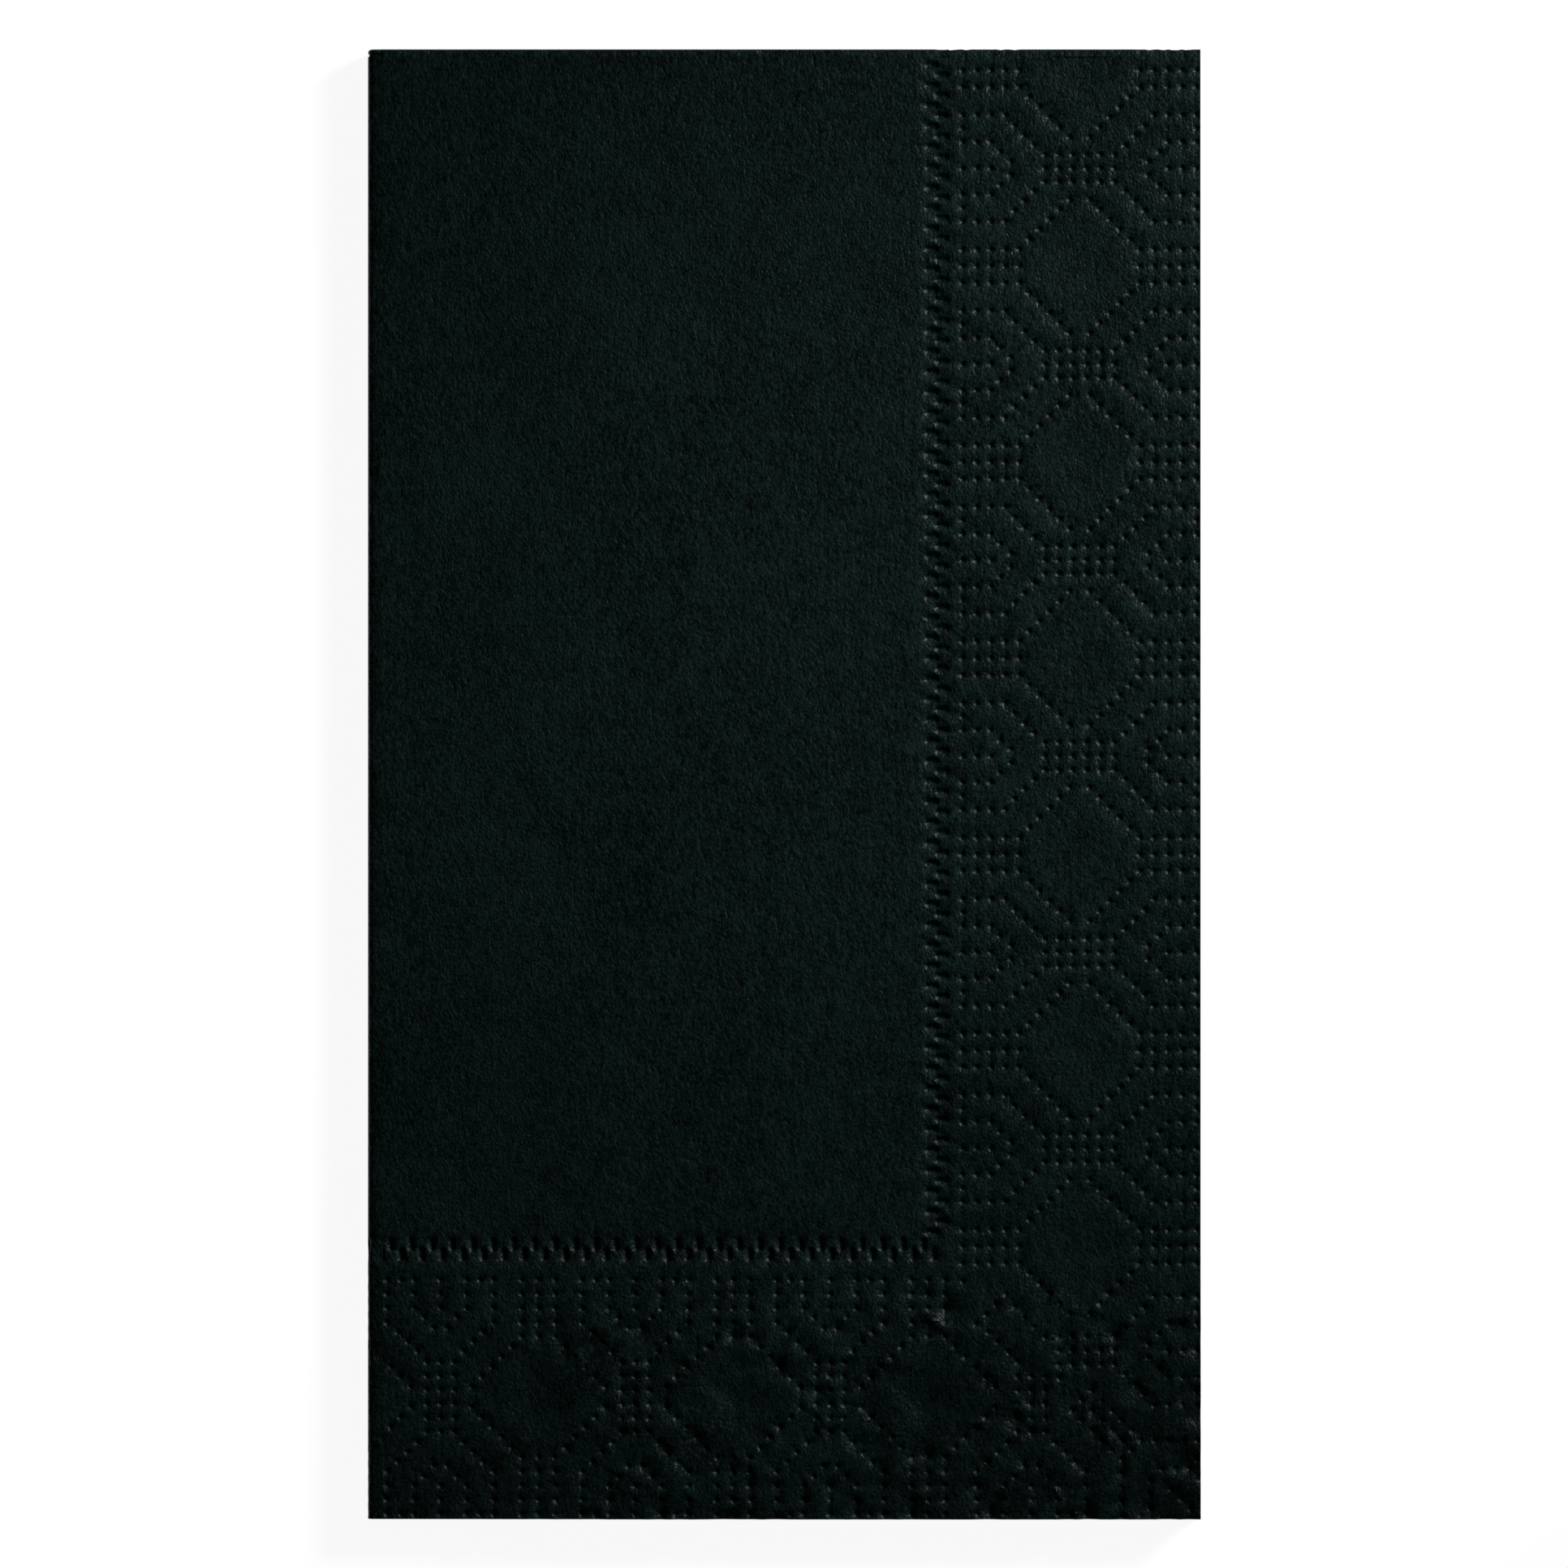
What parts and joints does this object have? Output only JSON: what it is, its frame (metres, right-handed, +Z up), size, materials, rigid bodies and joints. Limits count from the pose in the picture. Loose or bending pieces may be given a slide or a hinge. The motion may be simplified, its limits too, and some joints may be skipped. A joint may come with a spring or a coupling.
{
  "type": "folded paper napkin",
  "caption": "Black dinner napkin of embossed two-ply tissue, folded flat into a slim rectangle, with a lengthwise book fold that opens.",
  "frame": {"origin": "centre of the folded napkin's underside, on the surface that it lies on", "axes": "+X across the fold, from the book fold to the free side edge; +Y along the fold, from the free end edge to the cross fold; +Z up"},
  "size_m": [0.108, 0.1905, 0.0041],
  "materials": {
    "face_ply": "matte",
    "back_ply": "matte"
  },
  "bodies": {
    "lower_half": {"leaf_1_back_ply": "back_ply", "leaf_1_face_ply": "face_ply", "leaf_2_back_ply": "back_ply", "leaf_2_face_ply": "face_ply", "leaf_3_back_ply": "back_ply", "leaf_3_face_ply": "face_ply", "leaf_4_back_ply": "back_ply", "leaf_4_face_ply": "face_ply", "side_corner_1_2_back_ply": "back_ply", "side_corner_1_2_face_ply": "face_ply", "side_fold_1_2_back_ply": "back_ply", "side_fold_1_2_face_ply": "face_ply", "side_fold_3_4_back_ply": "back_ply", "side_fold_3_4_face_ply": "face_ply", "spine_corner_1_4_back_ply": "back_ply", "spine_corner_1_4_face_ply": "face_ply", "spine_corner_2_3_back_ply": "back_ply", "spine_corner_2_3_face_ply": "face_ply", "spine_fold_1_8_back_ply": "back_ply", "spine_fold_1_8_face_ply": "face_ply", "spine_fold_2_7_back_ply": "back_ply", "spine_fold_2_7_face_ply": "face_ply", "spine_fold_3_6_back_ply": "back_ply", "spine_fold_3_6_face_ply": "face_ply", "spine_fold_4_5_back_ply": "back_ply", "spine_fold_4_5_face_ply": "face_ply", "top_fold_1_4_back_ply": "back_ply", "top_fold_1_4_face_ply": "face_ply", "top_fold_2_3_back_ply": "back_ply", "top_fold_2_3_face_ply": "face_ply"},
    "upper_half": {"leaf_5_back_ply": "back_ply", "leaf_5_face_ply": "face_ply", "leaf_6_back_ply": "back_ply", "leaf_6_face_ply": "face_ply", "leaf_7_back_ply": "back_ply", "leaf_7_face_ply": "face_ply", "leaf_8_back_ply": "back_ply", "leaf_8_face_ply": "face_ply", "top_fold_5_8_back_ply": "back_ply", "top_fold_5_8_face_ply": "face_ply", "top_fold_6_7_back_ply": "back_ply", "top_fold_6_7_face_ply": "face_ply"}
  },
  "joints": [
    {"name": "book_fold", "type": "hinge", "parent": "lower_half", "child": "upper_half", "pos_m": [-0.05194, 0, 0.00203], "axis": [0, -1, 0], "range_deg": [0, 179], "deforming": ["spine_corner_1_4_back_ply", "spine_corner_1_4_face_ply", "spine_corner_2_3_back_ply", "spine_corner_2_3_face_ply", "spine_fold_1_8_back_ply", "spine_fold_1_8_face_ply", "spine_fold_2_7_back_ply", "spine_fold_2_7_face_ply", "spine_fold_3_6_back_ply", "spine_fold_3_6_face_ply", "spine_fold_4_5_back_ply", "spine_fold_4_5_face_ply"]}
  ]
}
